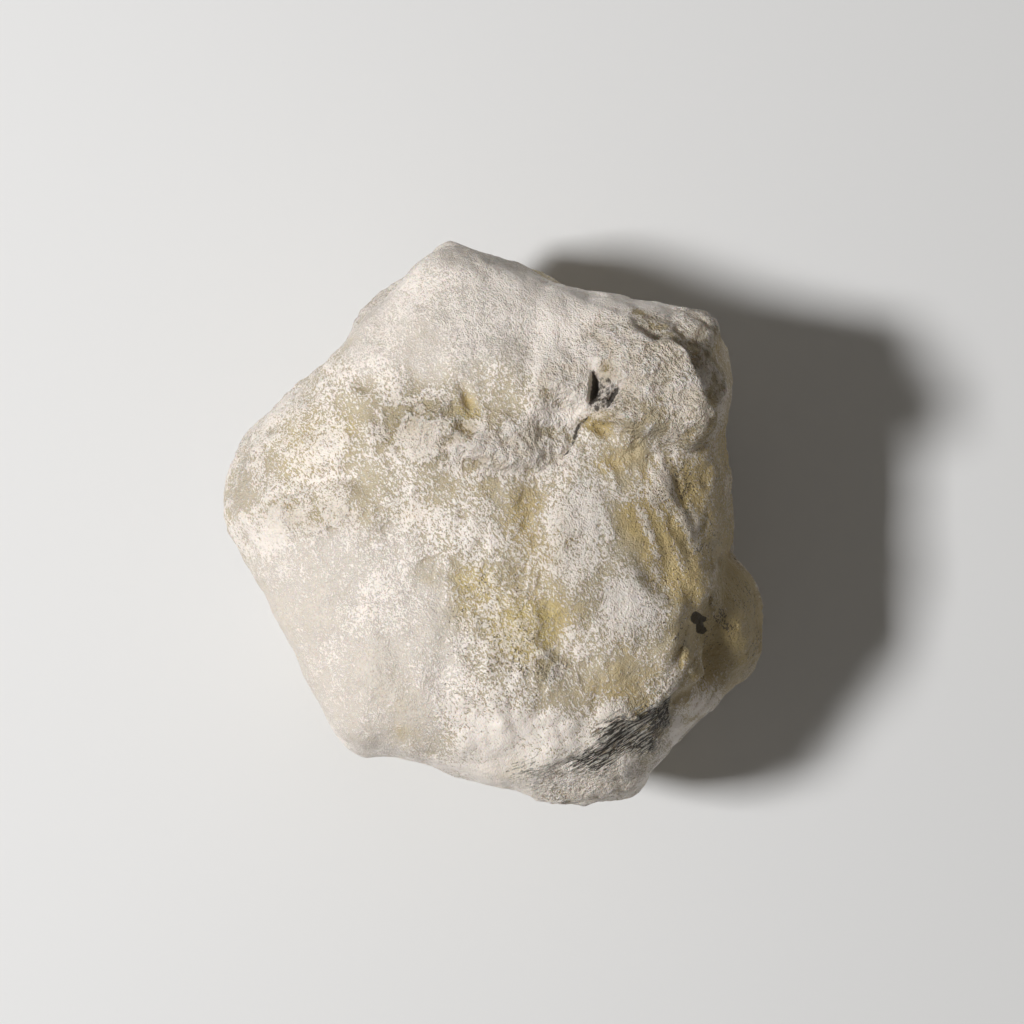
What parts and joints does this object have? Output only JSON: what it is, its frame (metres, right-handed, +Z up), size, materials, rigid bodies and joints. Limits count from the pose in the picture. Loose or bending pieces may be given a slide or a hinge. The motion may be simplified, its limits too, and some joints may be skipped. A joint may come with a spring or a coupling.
{
  "type": "geode",
  "caption": "Whole, unopened geode: a rough, rounded white nodule with lobes, ledges, a crack and a patch of grey host rock, lying on a small flat spot.",
  "frame": {"origin": "on the ground, under the middle of the stone's box", "axes": "+Z up, out of the widest face; +Y towards the smooth upper lobe; +X towards the blocky shoulder and the low side lobe"},
  "size_m": [0.0788, 0.0816, 0.0542],
  "materials": {
    "crust": "rough pale mineral crust with a satin glint, yellow and ochre stains and a patch of grey host rock"
  },
  "bodies": {
    "root": {"geode": "crust"}
  },
  "joints": []
}
